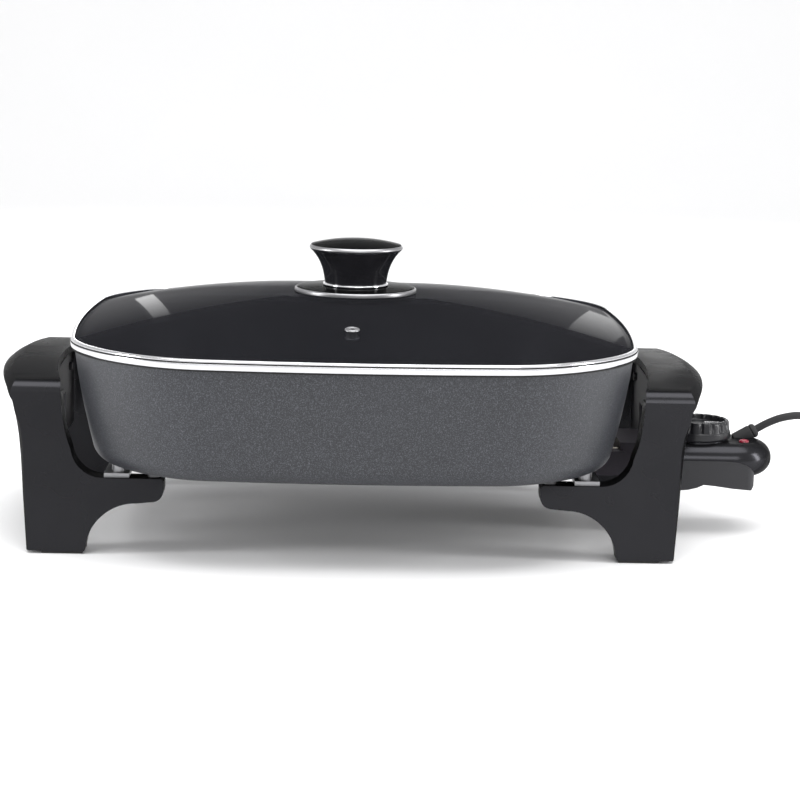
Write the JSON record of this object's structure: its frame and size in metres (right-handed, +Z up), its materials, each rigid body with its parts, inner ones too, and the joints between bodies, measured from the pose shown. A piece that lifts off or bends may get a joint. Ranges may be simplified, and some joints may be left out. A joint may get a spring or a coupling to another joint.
{
  "type": "electric skillet",
  "caption": "Square electric skillet with a domed lift-off glass lid, black handle legs and a plug-in temperature controller on its mains cord",
  "frame": {"origin": "on the table, under the middle of the box round the skillet, handles and controller, without the cord", "axes": "+X toward the plug-in controller, +Y to the back, +Z up"},
  "size_m": [0.5761, 0.31, 0.1613],
  "materials": {
    "pan_coating": "dark grey non-stick coating with fine metallic flecks, satin",
    "sheath": "heat-darkened sheath, matte",
    "steel": "plain steel, satin",
    "chrome": "bright polished",
    "aluminium": "cast, matte",
    "ceramic": "unglazed ceramic, matte",
    "black_plastic": "moulded, satin",
    "gloss_black": "moulded, glossy",
    "grey_grip": "moulded, matte",
    "rubber_black": "matte",
    "clear_glass": "clear tempered glass, polished",
    "contact_brass": "plain, satin",
    "red_lens": "translucent red, glossy",
    "lamp_glass": "clear, glossy",
    "cord_jacket": "flexible jacket, satin"
  },
  "bodies": {
    "base": {"pan": "pan_coating", "heating_element": "sheath", "element_clamps": "steel", "clamp_rivets": "aluminium", "terminal_pins": "steel", "pin_insulators": "ceramic", "terminal_guard": "black_plastic", "guard_screws": "steel", "probe_well": "aluminium", "left_handle": "black_plastic", "right_handle": "black_plastic", "left_shield": "steel", "right_shield": "steel", "shield_screws": "steel", "left_support_bar": "steel", "right_support_bar": "steel", "standoff_sleeves": "steel", "handle_screws": "steel", "rubber_feet": "rubber_black"},
    "lid": {"lid_glass": "clear_glass", "lid_band": "chrome", "vent_eyelet": "chrome", "knob_disc": "gloss_black", "disc_trim": "chrome", "knob_collar": "chrome", "knob_body": "gloss_black", "knob_ring": "chrome", "knob_cap": "gloss_black", "knob_screw": "steel", "knob_washer": "steel", "knob_gasket": "rubber_black"},
    "controller": {"controller_top": "black_plastic", "controller_bottom": "black_plastic", "controller_grip": "grey_grip", "controller_nose": "ceramic", "controller_screws": "steel", "socket_contacts": "contact_brass", "probe": "steel", "thermostat_frame": "ceramic", "bimetal_blade": "contact_brass", "contact_arms": "contact_brass", "dial_bush": "contact_brass", "lamp_lens": "red_lens", "neon_lamp": "lamp_glass", "strain_relief": "cord_jacket", "cord": "cord_jacket", "cord_coil": "cord_jacket", "plug": "cord_jacket", "plug_blades": "contact_brass"},
    "dial": {"dial": "gloss_black", "dial_trim": "steel", "dial_shaft": "steel", "cam": "ceramic"}
  },
  "joints": [
    {"name": "lid_lift", "type": "slide", "parent": "base", "child": "lid", "axis": [0, 0, 1], "range_m": [0, 0.15]},
    {"name": "controller_unplug", "type": "slide", "parent": "base", "child": "controller", "axis": [1, 0, 0], "range_m": [0, 0.09]},
    {"name": "dial_turn", "type": "hinge", "parent": "controller", "child": "dial", "pos_m": [0.17575, 0, 0.055], "axis": [0, 0, 1], "range_deg": [0, 270]}
  ]
}
